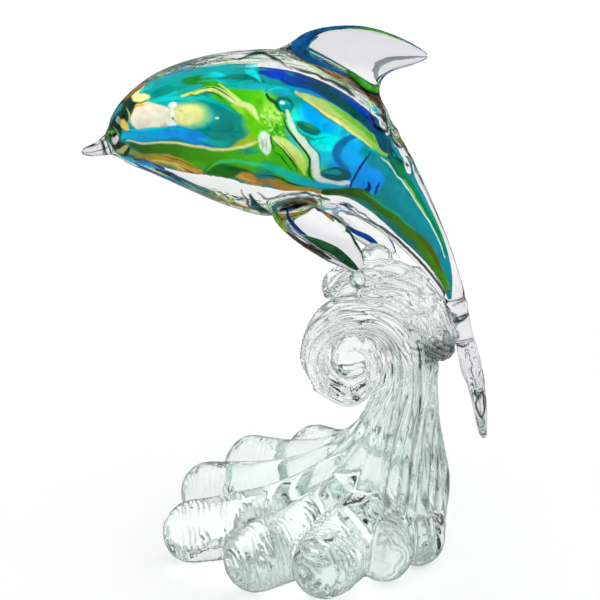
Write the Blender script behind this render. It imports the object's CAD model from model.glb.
import math

import bpy
import numpy as np
import openvdb as vdb
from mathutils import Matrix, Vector


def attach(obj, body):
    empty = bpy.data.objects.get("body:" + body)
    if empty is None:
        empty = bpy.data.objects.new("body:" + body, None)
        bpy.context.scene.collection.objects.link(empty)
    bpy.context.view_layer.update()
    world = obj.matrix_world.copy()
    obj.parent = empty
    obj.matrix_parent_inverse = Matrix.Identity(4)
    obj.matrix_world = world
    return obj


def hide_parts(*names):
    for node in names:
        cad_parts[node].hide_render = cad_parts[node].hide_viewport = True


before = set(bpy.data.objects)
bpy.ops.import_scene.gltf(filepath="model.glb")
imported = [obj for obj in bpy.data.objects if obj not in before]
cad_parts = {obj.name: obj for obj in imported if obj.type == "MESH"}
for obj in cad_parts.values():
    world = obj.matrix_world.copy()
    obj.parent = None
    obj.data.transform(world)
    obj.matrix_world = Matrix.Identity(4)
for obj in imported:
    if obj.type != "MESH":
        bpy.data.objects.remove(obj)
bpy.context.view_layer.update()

MM = 0.001
VOXEL = 0.55          # grid step of the blown shapes, mm
BAND = 18             # half width of the distance band, in voxels
SKIN = 0.8            # least clear glass over a strand, mm
rng = np.random.default_rng(11)

# ---------------------------------------------------------------- stations, mm and degrees
# Body, beak, core, column and foam: x, z, lean, half size in the XZ plane, half size along Y.
BODY = [
    (-63.5, 157.8, -17, 4.5, 4.2), (-60, 159.5, -16, 10, 9), (-53, 161.5, -13, 15.2, 13),
    (-42.5, 162.3, -11, 21, 17.5), (-28.5, 162, -7, 26.2, 21), (-15.5, 161.5, 0, 28.8, 23),
    (-3.5, 160.5, 9, 29.4, 23.5), (9, 157.5, 19, 26.6, 22), (20, 152.5, 30, 21.8, 19),
    (29, 145.5, 39, 16.8, 15.5), (38, 136, 47, 12.4, 12), (47, 124, 52, 8.8, 8.8),
    (54, 113, 57, 6.2, 6.4), (59, 103, 63, 4.4, 4.8), (62, 94, 67, 3.6, 4),
    (64.5, 84, 71, 3.3, 3.6), (66.6, 76, 74, 2.6, 2.8), (68.2, 69, 75, 1.6, 1.8),
]
BEAK = [
    (-61, 158.9, -17, 7, 6.2), (-63.5, 157.8, -17, 4.5, 4.2), (-67.5, 156.1, -13, 3.1, 3.2),
    (-71, 155, -8, 2.2, 2.5), (-73.8, 154.5, -6, 1.5, 1.8), (-75, 154.3, -5, 0.7, 0.9),
]
CORE = [
    (-63, 158.9, -17, 2.6, 2.3), (-60.4, 160.6, -16.5, 5.6, 5.2), (-57, 161.9, -15, 7.4, 6.6),
    (-52, 163.2, -13, 8.8, 7.6), (-42.5, 164.3, -11, 12.6, 11), (-28.5, 164.8, -7, 15.2, 13.6),
    (-15.5, 163.9, 0, 16.5, 14.8), (-3.5, 162.1, 9, 16.5, 15), (9, 157.9, 19, 15.5, 14),
    (20.7, 153.4, 30, 11.6, 11), (29.6, 146.2, 39, 8.5, 8.6), (38.4, 136.3, 47, 6.4, 6.5),
    (47.4, 124.2, 52, 4.4, 4.5), (53.3, 114.8, 56, 2.7, 2.7), (56.9, 107, 61, 1.4, 1.4),
    (58.9, 100.2, 66, 0.4, 0.4),
]
# Fins and flukes: x, y, z of the leading edge, x, y, z of the trailing edge, half thickness.
DORSAL = [
    (-5, 0, 184, 34, 0, 159, 7.4), (-2.2, 0, 190.8, 32.6, 0, 168, 6.6),
    (4.2, 0, 196, 31, 0, 175, 5.4), (14, 0, 198.6, 32.2, 0, 180.2, 4.5),
    (26, 0, 198.4, 35.6, 0, 183, 3.5), (36.5, 0, 195.3, 40.6, 0, 184.6, 2.5),
    (43.6, 0, 191.8, 45.2, 0, 186.2, 1.6), (47.4, 0, 189.2, 47.6, 0, 187.6, 0.8),
]
PECTORAL_LEFT = [
    (-4, -10, 141, 9, -10, 142, 5), (-6.5, -16, 134.5, 9, -18, 138.5, 4.3),
    (1, -20, 127, 16, -20, 135, 3.8), (11, -19, 120, 21, -19, 129, 3.2),
    (19, -16, 115.5, 25, -16, 121.5, 2.4), (23, -14, 113.5, 25.5, -14, 115.5, 1.2),
]
PECTORAL_RIGHT = [
    (4, 10, 137, 13, 10, 144, 5), (9.5, 16.5, 129.8, 18.5, 17, 138.5, 4.2),
    (16.5, 18.5, 123.2, 25.5, 18.5, 132, 3.6), (24.5, 17, 117.4, 32.5, 17, 125, 3),
    (32.5, 14.5, 113.4, 37.5, 14.5, 118.3, 2.2), (37.6, 13, 112, 39.4, 13, 113.8, 1.1),
]
FLUKE_LEFT = [
    (64, 0, 86, 69.3, 0, 64, 3.6), (65, -5, 81, 70.3, -5, 61.5, 3.3),
    (66.6, -11, 73.5, 70.8, -11, 57.5, 2.8), (68, -17, 65.5, 70.4, -17, 54.5, 2.2),
    (69, -21.5, 59, 70, -21.5, 53, 1.5), (69.4, -23.5, 56, 69.8, -23.5, 53.8, 0.8),
]
FLUKE_RIGHT = [
    (64, 0, 86, 69.3, 0, 64, 3.6), (65.8, 5, 81, 71.2, 5, 62, 3.3),
    (68.6, 11, 74, 73, 11, 58.5, 2.8), (71.4, 17, 66.5, 74, 17, 56.5, 2.2),
    (73.3, 21.5, 60.5, 74.4, 21.5, 55, 1.4), (74.1, 23.5, 57.5, 74.4, 23.5, 55.8, 0.7),
]
HUB = np.array([42.0, 1.0])     # x and y that the toes run out from
COLUMN = [
    (43.5, 0, 0, 14.5, 15), (43.8, 12, 0, 16.2, 16), (43.8, 26, 0, 16.8, 16),
    (43, 40, 0, 15.2, 15), (42.6, 52, 0, 13.6, 14.2), (43.4, 60.5, -6, 12.4, 14),
    (44.6, 69, -4, 10.4, 14),
]
# Curl, every CURL_STEP degrees round its centre: distance from it, half thickness, half width.
CURL_STEP = 45
CURL_CENTRE = (21.5, 78)
CURL = [
    (22.6, 9.8, 13.8), (18.6, 8.2, 13.6), (15.4, 6.8, 13.4), (13.8, 5.6, 13.2), (13.2, 5, 13),
    (14, 4.7, 12.8), (15, 4.5, 12.4), (12.2, 3.4, 11.8), (8.8, 3, 11.2), (6.8, 2.8, 10.6),
    (5, 2.5, 9.8), (3.8, 2, 8.6),
]
# Toes: x and y of the end, half width, height of the back, height where the back leaves the column.
TOES = [
    (47.5, -15.5, 10.5, 20, 50), (34, -27.5, 11, 21, 56), (12, -39.5, 12, 23, 60), (-13, -35, 12, 23, 62),
    (-38, -13, 11, 21.5, 62), (-34, 20, 11, 23, 62), (-17, 38, 11.5, 27, 62), (9, 39.5, 12.5, 31, 62),
    (36, 31, 11.5, 25, 58), (52, 14, 9.5, 21, 50),
]
FOAM = [
    (14.5, 100, 40, 2.6, 5), (19.5, 104.2, 30, 5.6, 10.5), (28.5, 105.8, 5, 7.4, 14.5),
    (38.5, 103.6, -22, 8.2, 15.5), (46.8, 97.4, -42, 7.8, 14.5), (52.2, 89.6, -62, 6.4, 12.5),
    (54.2, 82.4, -80, 4.6, 9), (54.4, 78.6, -90, 2.4, 4.5),
]
# Lumps of foam: x, y, z and three half sizes.
LUMPS = [
    (20, -8.5, 106, 5.8, 6, 4.8), (31, 4, 113, 5.2, 6, 5.4), (53.6, -8, 85, 5.4, 6.4, 5.8),
]


# ---------------------------------------------------------------- curves and tubes
def smooth(rows, steps):
    """Catmull-Rom rows through the stations."""
    rows = np.asarray(rows, float)
    ext = np.vstack([2 * rows[0] - rows[1], rows, 2 * rows[-1] - rows[-2]])
    t = np.linspace(0, 1, steps, endpoint=False)[:, None]
    out = []
    for i in range(len(rows) - 1):
        a, b, c, d = ext[i:i + 4]
        straight = 2 * b + (c - a) * t
        bent = (2 * a - 5 * b + 4 * c - d) * t ** 2
        cubic = (3 * b - a - 3 * c + d) * t ** 3
        out.append(0.5 * (straight + bent + cubic))
    out.append(rows[-1:])
    return np.vstack(out)


def rings(centres, across, side, half_a, half_s, count, radius=None):
    """Closed rings of points; radius(angles) gives each ring's own outline."""
    ang = np.linspace(0, 2 * math.pi, count, endpoint=False)
    r = np.ones((len(centres), count)) if radius is None else radius(ang)
    ca, sa = np.cos(ang) * r, np.sin(ang) * r
    return (centres[:, None, :] + across[:, None, :] * (half_a[:, None] * ca)[..., None]
            + side[:, None, :] * (half_s[:, None] * sa)[..., None])


def tube(grid):
    """Closed mesh from rings with an even count of points: points and quads, the end caps last."""
    r, n = grid.shape[:2]
    points = np.vstack([grid.reshape(-1, 3), grid[0].mean(0), grid[-1].mean(0)])
    i, j = np.meshgrid(np.arange(r - 1), np.arange(n), indexing="ij")
    k = (j + 1) % n
    quads = np.stack([i * n + j, i * n + k, (i + 1) * n + k, (i + 1) * n + j], -1).reshape(-1, 4)
    j = np.arange(0, n, 2)
    k = (j + 2) % n
    first = np.stack([np.full(n // 2, r * n), k, j + 1, j], -1)
    top = (r - 1) * n
    last = np.stack([np.full(n // 2, r * n + 1), top + j, top + j + 1, top + k], -1)
    return points, np.vstack([quads, first, last])


def plane_tube(rows, steps=8, count=48):
    """Tube along a line in the XZ plane: x, z, lean of each section, half height, half width."""
    s = smooth(rows, steps)
    a = np.radians(s[:, 2])
    up = np.stack([np.sin(a), np.zeros(len(s)), np.cos(a)], -1)
    side = np.tile([0.0, 1.0, 0.0], (len(s), 1))
    centres = np.stack([s[:, 0], np.zeros(len(s)), s[:, 1]], -1)
    return rings(centres, up, side, np.maximum(s[:, 3], 0.2), np.maximum(s[:, 4], 0.2), count)


def blade(rows, steps=8, count=32):
    """Lens-shaped sections between a leading and a trailing edge."""
    s = smooth(rows, steps)
    lead, trail, thick = s[:, :3], s[:, 3:6], np.maximum(s[:, 6], 0.3)
    mid = (lead + trail) / 2
    chord = trail - lead
    half = np.linalg.norm(chord, axis=1) / 2
    chord /= (2 * half)[:, None]
    run = np.gradient(mid, axis=0)
    normal = np.cross(chord, run)
    normal /= np.linalg.norm(normal, axis=1)[:, None]
    return rings(mid, chord, normal, half, thick, count)


def ball(x, y, z, a, b, c, count=32):
    """Ellipsoid about a centre, as rings from the top down."""
    t = np.linspace(0.06, math.pi - 0.06, count // 2)
    centres = np.stack([np.full(len(t), x), np.full(len(t), y), z + c * np.cos(t)], -1)
    across = np.tile([1.0, 0.0, 0.0], (len(t), 1))
    side = np.tile([0.0, 1.0, 0.0], (len(t), 1))
    return rings(centres, across, side, a * np.sin(t), b * np.sin(t), count)


# ---------------------------------------------------------------- distance fields
def blend_corners(low, f, value):
    """Value between the eight corners of each point's cell; f is the point's place in the cell."""
    out = np.zeros(len(low))
    for corner in np.ndindex(2, 2, 2):
        out += np.prod(np.where(corner, f, 1 - f), axis=1) * value(low + corner)
    return out


class Field:
    """Signed distances on a grid, grown by smooth unions of closed tubes, as hot glass runs together."""

    def __init__(self, low, high):
        self.start = np.floor(np.array(low) / VOXEL).astype(int)
        self.shape = tuple(int(n) for n in np.ceil(np.array(high) / VOXEL).astype(int) - self.start)
        self.far = BAND * VOXEL
        self.transform = vdb.createLinearTransform(voxelSize=VOXEL)
        self.values = np.full(self.shape, self.far, np.float32)

    def distance(self, grid):
        """Signed distance to one closed tube."""
        points, quads = tube(grid)
        level = vdb.FloatGrid.createLevelSetFromPolygons(
            points.astype(np.float32), quads=quads.astype(np.uint32), transform=self.transform,
            halfWidth=float(BAND))
        out = np.full(self.shape, self.far, np.float32)
        level.copyToArray(out, ijk=tuple(int(i) for i in self.start))
        return out

    def join(self, d, k):
        """Smooth union: k is how far apart the two surfaces start to flow together, mm."""
        a = self.values
        low = np.minimum(a, d)
        near_edge = np.clip((self.far - low) / (0.4 * self.far), 0, 1)
        h = np.clip(1.0 - np.abs(a - d) / k, 0, 1) * near_edge
        self.values = low - h * h * (k * 0.25)

    def add(self, grid, k=1.0):
        self.join(self.distance(grid), k)

    def cut_below_floor(self):
        """Flat underside at z = 0."""
        height = ((np.arange(self.shape[2]) + self.start[2]) * VOXEL).astype(np.float32)
        self.values = np.maximum(self.values, -height[None, None, :])

    def sample(self, points):
        """Distance at each point, between the grid's own values."""
        u = np.clip(points / VOXEL - self.start, 0, np.array(self.shape) - 1.001)
        low = u.astype(int)
        return blend_corners(low, u - low, lambda cell: self.values[tuple(cell.T)])

    def keep_inside(self, points, depth):
        """Pulls points that are outside, or less than depth under the surface, straight in."""
        for _ in range(4):
            d = self.sample(points)
            slope = np.stack([self.sample(points + step) - self.sample(points - step)
                              for step in np.eye(3) * VOXEL], -1)
            slope /= np.maximum(np.linalg.norm(slope, axis=1), 1e-6)[:, None]
            points = points - slope * np.maximum(d + depth, 0)[:, None]
        return points

    def mesh(self):
        """Points and quads of the surface where the distance is zero."""
        level = vdb.FloatGrid(self.far)
        level.copyFromArray(np.ascontiguousarray(self.values), ijk=tuple(int(i) for i in self.start))
        level.transform = self.transform
        points, quads = level.convertToQuads(0.0)
        return np.array(points, float), np.array(quads, np.int64)


CELLS = 32            # cells along each side of a random field before it repeats


def wander3(p, step, seed):
    """Smooth random field between -1 and 1 in space."""
    grid = np.random.default_rng(seed).uniform(-1, 1, (CELLS, CELLS, CELLS))
    u = p / step + 17.3
    low = np.floor(u).astype(int)
    f = u - low
    return blend_corners(low, f * f * (3 - 2 * f), lambda cell: grid[tuple(cell.T % CELLS)])


def ease(x, low, high):
    """Smooth step from 0 at low to 1 at high; high may be the smaller."""
    t = np.clip((x - low) / (high - low), 0, 1)
    return t * t * (3 - 2 * t)


def relax(points, quads, rounds, hold=None):
    """Taubin smoothing: evens out grid steps without shrinking the form. Points that hold() picks keep z."""
    edges = np.vstack([quads[:, [0, 1]], quads[:, [1, 2]], quads[:, [2, 3]], quads[:, [3, 0]]])
    edges = np.unique(np.sort(edges, 1), axis=0)
    a, b = edges.T
    n = len(points)
    count = np.bincount(edges.ravel(), minlength=n).astype(float)
    count[count == 0] = 1
    p = points.copy()
    for step in range(rounds * 2):
        sums = [np.bincount(a, p[b, i], n) + np.bincount(b, p[a, i], n) for i in range(3)]
        mean = np.stack(sums, -1) / count[:, None]
        move = (mean - p) * (0.5 if step % 2 == 0 else -0.52)
        if hold is not None:
            move[hold(p), 2] = 0
        p += move
    return p


def vertex_normals(points, quads):
    """Outward direction at each point."""
    a = points[quads[:, 2]] - points[quads[:, 0]]
    b = points[quads[:, 3]] - points[quads[:, 1]]
    face = np.cross(a, b)
    out = np.stack([sum(np.bincount(quads[:, c], face[:, i], len(points)) for c in range(4))
                    for i in range(3)], -1)
    return out / np.maximum(np.linalg.norm(out, axis=1), 1e-9)[:, None]


def make_object(name, points, faces, material, nodes=()):
    """New mesh piece in metres that rides on the figure and stands for the named CAD nodes."""
    mesh = bpy.data.meshes.new(name)
    size = faces.shape[1]
    mesh.vertices.add(len(points))
    mesh.vertices.foreach_set("co", (points * MM).astype(np.float32).ravel())
    mesh.loops.add(faces.size)
    mesh.loops.foreach_set("vertex_index", faces.astype(np.int32).ravel())
    mesh.polygons.add(len(faces))
    mesh.polygons.foreach_set("loop_start", np.arange(0, faces.size, size, dtype=np.int32))
    mesh.polygons.foreach_set("use_smooth", np.ones(len(faces), bool))
    mesh.update(calc_edges=True)
    mesh.validate()
    obj = bpy.data.objects.new(name, mesh)
    bpy.context.scene.collection.objects.link(obj)
    mesh.materials.append(material)
    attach(obj, "root")
    if nodes:
        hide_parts(*nodes)
    return obj


def put_attribute(obj, name, values):
    """Stores a number, or a colour of three numbers, at every point of a piece."""
    if values.ndim == 1:
        attribute = obj.data.attributes.new(name, "FLOAT", "POINT")
        attribute.data.foreach_set("value", values.astype(np.float32))
    else:
        attribute = obj.data.attributes.new(name, "FLOAT_COLOR", "POINT")
        opaque = np.append(values, np.ones((len(values), 1)), axis=1)
        attribute.data.foreach_set("color", opaque.astype(np.float32).ravel())


# ---------------------------------------------------------------- materials
class Tree:
    """Writes a node tree; an input is a number, a colour or another node's output."""

    def __init__(self, owner):
        owner.use_nodes = True
        self.tree = owner.node_tree
        self.tree.nodes.clear()

    def node(self, kind, inputs=None, **props):
        n = self.tree.nodes.new("ShaderNode" + kind)
        for key, value in props.items():
            setattr(n, key, value)
        for key, value in (inputs or {}).items():
            socket = n.inputs[key]
            if isinstance(value, bpy.types.NodeSocket):
                self.tree.links.new(value, socket)
            else:
                socket.default_value = value
        return n

    def math(self, operation, a, b=0.0):
        return self.node("Math", {0: a, 1: b}, operation=operation).outputs[0]

    def mix(self, factor, a, b, blend="MIX"):
        return self.node("Mix", {0: factor, 6: a, 7: b}, data_type="RGBA", blend_type=blend).outputs[2]


def rgb(r, g, b):
    return (r, g, b, 1.0)


def even(value):
    return rgb(value, value, value)


RIPPLE = 0.05         # strength of the finest ripples, in the shading only


def glass_material(name, tint, edge, edge_start, ripple_scale, density, deep, grey):
    """Clear glass: fine ripples, faint clouds of tint, grey bands and dark cords where the mesh says so,
    broken dark rims where the sight line grazes the wall, and absorption that deepens with thickness."""
    material = bpy.data.materials.new(name)
    t = Tree(material)
    where = t.node("TexCoord").outputs["Object"]
    wavy = t.node("TexNoise", {"Vector": where, "Scale": ripple_scale, "Detail": 3.0, "Roughness": 0.55})
    slow = t.node("TexNoise", {"Vector": where, "Scale": 28.0, "Detail": 2.0})
    light = rgb(*[min(1.0, c * 1.015) for c in tint])
    dark = rgb(*[c * 0.975 for c in tint])
    tone = t.mix(slow.outputs["Fac"], light, dark)
    for attribute, colour in (("grey", grey), ("ink", (0.0, 0.004, 0.005))):
        share = t.node("Attribute", attribute_name=attribute).outputs["Fac"]
        tone = t.mix(share, tone, rgb(*colour))
    bump = t.node("Bump", {"Height": wavy.outputs["Fac"], "Strength": RIPPLE, "Distance": 0.001})
    facing = t.node("LayerWeight", {"Blend": 0.5, "Normal": bump.outputs[0]}).outputs["Facing"]
    breaks = t.node("TexNoise", {"Vector": where, "Scale": 130.0, "Detail": 2.0})
    shift = t.node("MapRange", {0: breaks.outputs["Fac"], 1: 0.3, 2: 0.7, 3: -0.10, 4: 0.10})
    rim = t.node("MapRange", {0: t.math("SUBTRACT", facing, shift.outputs[0]), 1: edge_start, 2: 0.98},
                 interpolation_type="SMOOTHSTEP")
    tone = t.mix(rim.outputs[0], tone, rgb(*edge))
    shader = t.node("BsdfPrincipled", {
        "Base Color": tone, "Roughness": 0.0, "IOR": 1.45, "Transmission Weight": 1.0,
        "Normal": bump.outputs[0]})
    fog = t.node("VolumeAbsorption", {"Color": rgb(*deep), "Density": density})
    t.node("OutputMaterial", {"Surface": shader.outputs[0], "Volume": fog.outputs[0]})
    return material


def stain_material(name, scale, grain, span, shades, roughness, clear):
    """Stained glass in the mesh's own colours, with specks a little darker and lighter."""
    material = bpy.data.materials.new(name)
    t = Tree(material)
    colour = t.node("Attribute", attribute_name="stain").outputs["Color"]
    where = t.node("TexCoord").outputs["Object"]
    fleck = t.node("TexNoise", {"Vector": where, "Scale": scale, "Detail": 3.0, "Roughness": grain})
    speck = t.node("MapRange", {
        0: fleck.outputs["Fac"], 1: 0.5 - span, 2: 0.5 + span, 3: shades[0], 4: shades[1]})
    tone = t.mix(1.0, colour, speck.outputs[0], "MULTIPLY")
    shader = t.node("BsdfPrincipled", {
        "Base Color": tone, "Roughness": roughness, "IOR": 1.03, "Transmission Weight": clear})
    t.node("OutputMaterial", {"Surface": shader.outputs[0]})
    return material


dolphin_clear = glass_material(
    "dolphin_clear_glass", tint=(0.93, 0.93, 0.94), edge=(0.0, 0.002, 0.002), edge_start=0.78,
    ripple_scale=160.0, density=2.0, deep=(0.90, 0.90, 0.91), grey=(0.77, 0.765, 0.80))
wave_clear = glass_material(
    "wave_clear_glass", tint=(0.97, 0.99, 0.983), edge=(0.0, 0.016, 0.013), edge_start=0.56,
    ripple_scale=240.0, density=5.0, deep=(0.68, 0.86, 0.80), grey=(0.62, 0.70, 0.67))
core_stain = stain_material("core_stain", 420.0, 0.6, 0.15, (0.93, 1.08), 0.10, 0.28)
thread_stain = stain_material("thread_stain", 300.0, 0.5, 0.2, (0.65, 1.2), 0.12, 0.35)


# ---------------------------------------------------------------- dolphin glass
dolphin = Field((-77, -28, 51), (77.5, 28, 201.5))     # lowest and highest corner of its grid, mm
dolphin.add(plane_tube(BODY))
dolphin.add(plane_tube(BEAK), 3.0)
for limb, flow in ((DORSAL, 4.5), (PECTORAL_LEFT, 4.0), (PECTORAL_RIGHT, 4.0), (FLUKE_LEFT, 2.0),
                   (FLUKE_RIGHT, 2.0)):
    dolphin.add(blade(limb), flow)


# Lively folds: x, z, reach, height and width, mm.
FOLDS = [
    (35, 160, 9, 0.75, 3.4), (30, 168, 6, 0.6, 2.8), (40.5, 150, 6, 0.5, 3.2), (-12, 136.5, 7, 0.75, 3.6),
    (-22, 141, 6, 0.45, 3), (20, 131.5, 7, 0.5, 3), (61.8, 97, 6, 0.55, 2.6), (66.5, 73, 7, 0.5, 3),
    (-64.5, 160, 5, 0.4, 2.4),
]


def near(points, x, z, reach):
    """One about (x, z), fading to nothing at the given reach."""
    return ease(np.hypot(points[:, 0] - x, points[:, 2] - z), reach, 0.3 * reach)


def work_dolphin(points, quads):
    """Tool marks in the clear casing: slow waves, and lively folds behind the fins and along the tail."""
    push = 0.10 * wander3(points, 8.0, 41) + 0.03 * wander3(points, 3.0, 42)
    for x, z, reach, height, width in FOLDS:
        push += height * near(points, x, z, reach) * wander3(points, width, 43)
    return points + vertex_normals(points, quads) * push[:, None]


def dolphin_grey(x, z):
    """Where the clear glass is greyer: dorsal fin, near pectoral fins, beak and tail."""
    dorsal = ease(z - np.interp(x, [-5, 15, 30, 48], [187, 184, 181, 180]), 0, 4) * ease(x, -6, 2)
    under = ease(z - np.interp(x, [-8, 20, 45], [140, 128, 108]), 0, -3)
    pectoral = under * ease(x, 45, 38) * ease(x, -12, -8)
    return np.maximum.reduce([dorsal, pectoral, ease(x, -63, -67), 0.6 * ease(z, 112, 100)])


def path_distance(x, z, path):
    """Distance in the XZ plane to a smooth path, and the share of the way along it."""
    path = smooth(path, 6)
    total = len(path) - 1
    best = np.full(len(x), 1e9)
    along = np.zeros(len(x))
    for i in range(total):
        (ax, az), (bx, bz) = path[i], path[i + 1]
        dx, dz = bx - ax, bz - az
        t = np.clip(((x - ax) * dx + (z - az) * dz) / (dx * dx + dz * dz), 0, 1)
        d = np.hypot(x - ax - t * dx, z - az - t * dz)
        closer = d < best
        best[closer] = d[closer]
        along[closer] = (i + t[closer]) / total
    return best, along


# Dark cords caught in the clear glass: x and z along the path, half width, mm.
CORDS = [
    ([(-54.9, 153.4), (-50.4, 151.7), (-45.6, 149.5), (-41.8, 147.7), (-37.6, 145.8)], 0.75),
    ([(-14.3, 142.6), (-13.2, 139.6), (-11.1, 136.7), (-8.3, 134.4), (-6.5, 133)], 1.5),
    ([(-17.2, 144.8), (-16.6, 142), (-14.9, 138.7), (-12.4, 135.6)], 0.5),
    ([(-11.8, 143.3), (-8.3, 141.1), (-2.7, 142.6), (3, 143.3), (8.7, 142.2), (15, 139.6), (20.7, 136.3),
      (24.9, 132.2)], 0.55),
    ([(26.6, 170.4), (28.6, 167.2), (30.4, 164.3), (32.8, 163.2), (33.4, 165.8), (32.1, 168), (30, 169)],
     0.6),
    ([(35.1, 162.8), (35.8, 159.9), (37.5, 158.1), (39.2, 157.2)], 0.65),
    ([(37, 154.6), (39.4, 152.4), (42, 150.6)], 0.5),
    ([(59.4, 98.6), (62.4, 99.6), (65.4, 101)], 0.5),
    ([(59.2, 91), (62.1, 92.2), (65.2, 93.8)], 0.8),
    ([(60.4, 83.4), (62.8, 82.1), (65.6, 83)], 0.55),
    ([(69.4, 68.2), (67.3, 64.4), (68.8, 60.5), (71, 64.4), (69.6, 67.9)], 0.5),
    ([(-0.4, 186.1), (6.4, 183.9), (13.3, 181.4), (20.2, 176.9), (25.3, 173.4)], 0.55),
    ([(-17.7, 188), (-14.2, 189.4), (-10.1, 189.6), (-5.3, 188), (0.2, 185.2)], 0.5),
    ([(-60.6, 169.4), (-62.8, 165.6), (-64.4, 161.6), (-63, 157.6)], 0.7),
    ([(-74.2, 155.6), (-70.6, 157.2), (-67, 158.8), (-65, 160.6)], 0.5),
    ([(-74.6, 153.4), (-70.6, 152.9), (-67, 152.8)], 0.45),
    ([(-67.6, 158.4), (-66.4, 156), (-66.8, 153.6)], 0.5),
]


def dolphin_ink(points):
    """How dark the cords are at each point: each tapers to its ends and is broken here and there."""
    x, _, z = points.T
    ink = np.zeros(len(points))
    wobble = 0.5 * wander3(points, 3.0, 47)
    for path, half in CORDS:
        d, along = path_distance(x + wobble, z + wobble, path)
        width = half * np.maximum(np.sin(math.pi * np.clip(along, 0.04, 0.96)), 0) ** 0.5
        ink = np.maximum(ink, ease(d, width + 0.35, width - 0.2))
    return ink * ease(wander3(points, 4.0, 48), -0.75, -0.35)


def make_dolphin_glass():
    points, quads = dolphin.mesh()
    points = work_dolphin(relax(points, quads, 6), quads)
    glass = make_object("dolphin_glass", points, quads, dolphin_clear, [
        "dolphin_casing", "beak", "tail_stock", "fluke_left", "fluke_right", "dorsal_fin", "pectoral_left",
        "pectoral_right"])
    put_attribute(glass, "grey", dolphin_grey(points[:, 0], points[:, 2]))
    put_attribute(glass, "ink", dolphin_ink(points))


make_dolphin_glass()


# ---------------------------------------------------------------- coloured core
# The clear casing magnifies the core. Each row is where one core section is seen from the side:
# x and z of its upper edge, x and z of its lower edge, mm. The colour is laid out in this seen plane.
SEEN = [
    (-68, 164.2, -65.4, 156.1), (-67.4, 171.2, -62.4, 155.4), (-64.1, 175, -58.1, 152.8),
    (-58.8, 178.3, -54, 154), (-49.5, 185.3, -44, 148.9), (-33.6, 189.6, -29.2, 145.6),
    (-17, 189.7, -17.4, 145.7), (-0.3, 187.2, -6.8, 145.3), (17.1, 180.7, 4.7, 143),
    (30.8, 168.7, 13.2, 140.4), (40, 155.9, 22.6, 136.8), (47.8, 142.3, 32.2, 130),
    (54.1, 126.9, 42.9, 120.4), (57.2, 117, 51, 111.8), (58.2, 108, 54.6, 105.8),
    (58.8, 100.4, 58, 100),
]
CORE_STEPS = 34       # rings between two stations of the core
CORE_COUNT = 300      # points in each ring
WARP = 0.6            # how far the strokes of colour waver

# Colours of the stained glass, linear red, green and blue
TEAL = (0, 0.31, 0.28)
DEEP_TEAL = (0, 0.11, 0.13)
SEA = (0, 0.46, 0.44)
CYAN = (0, 0.80, 0.90)
AZURE = (0, 0.38, 1)
ROYAL = (0, 0.20, 0.85)
STEEL = (0, 0.14, 0.38)
NAVY = (0, 0.012, 0.20)
GREEN = (0.06, 0.56, 0)
LIME = (0.36, 0.80, 0.02)
DEEP_GREEN = (0, 0.13, 0.01)
OLIVE = (0.16, 0.24, 0)
KHAKI = (0.62, 0.70, 0.20)
GOLD = (0.95, 0.48, 0.03)
AMBER = (0.70, 0.28, 0.01)
BROWN = (0.30, 0.12, 0.02)
CREAM = (1, 0.86, 0.66)
BUTTER = (1, 0.90, 0.32)
LEMON = (0.86, 0.92, 0.20)
PALE = (0.90, 1, 0.88)
INK = (0, 0.008, 0.010)
WHITE = (1, 1, 1)


def wander(x, z, step, seed):
    """Smooth random field between -1 and 1 over the seen plane."""
    side = 2 * CELLS
    grid = np.random.default_rng(seed).uniform(-1, 1, (side, side))
    u, v = x / step + 37.3, z / step + 11.7
    i, j = np.floor(u).astype(int), np.floor(v).astype(int)
    a, b = u - i, v - j
    a, b = a * a * (3 - 2 * a), b * b * (3 - 2 * b)

    def corner(m, n):
        return grid[(i + m) % side, (j + n) % side]

    below = corner(0, 0) * (1 - a) + corner(1, 0) * a
    above = corner(0, 1) * (1 - a) + corner(1, 1) * a
    return below * (1 - b) + above * b


class Stain:
    """Paints the core in the seen plane, colour over colour."""

    def __init__(self, x, z):
        self.x = x + WARP * (1.1 * wander(x, z, 9.0, 1) + 0.45 * wander(x, z, 3.2, 2))
        self.z = z + WARP * (1.1 * wander(x, z, 9.0, 3) + 0.45 * wander(x, z, 3.2, 4))
        self.colour = np.zeros((len(x), 3)) + np.array(TEAL)

    def lay(self, mask, colour):
        """Lays a colour over the ones there, where the mask is."""
        mask = np.clip(mask, 0, 1)
        mask = (mask * mask * (3 - 2 * mask))[:, None]
        self.colour = self.colour * (1 - mask) + np.asarray(colour, float) * mask

    def blob(self, x, z, half_x, half_z, tilt, colour, soft, strength=1.0):
        """Soft-edged ellipse."""
        a = math.radians(tilt)
        dx, dz = self.x - x, self.z - z
        u = (dx * math.cos(a) + dz * math.sin(a)) / half_x
        v = (-dx * math.sin(a) + dz * math.cos(a)) / half_z
        self.lay(strength * ((1 - np.sqrt(u * u + v * v)) / soft + 0.5), colour)

    def band(self, path, half, colour, last, soft=0.5, taper=0.5):
        """Smooth path that narrows to its ends and runs from one colour to another."""
        d, t = path_distance(self.x, self.z, path)
        width = half * np.maximum(np.sin(math.pi * np.clip(t, 0.02, 0.98)), 1e-3) ** taper
        first = np.asarray(colour, float)
        mixed = first + (np.asarray(last, float) - first) * t[:, None]
        self.lay((width - d) / soft + 0.5, mixed)

    def line(self, path, half=0.3, colour=INK):
        """Thin cord of one colour."""
        self.band(path, half, colour, colour, 0.3, 0.6)


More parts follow.
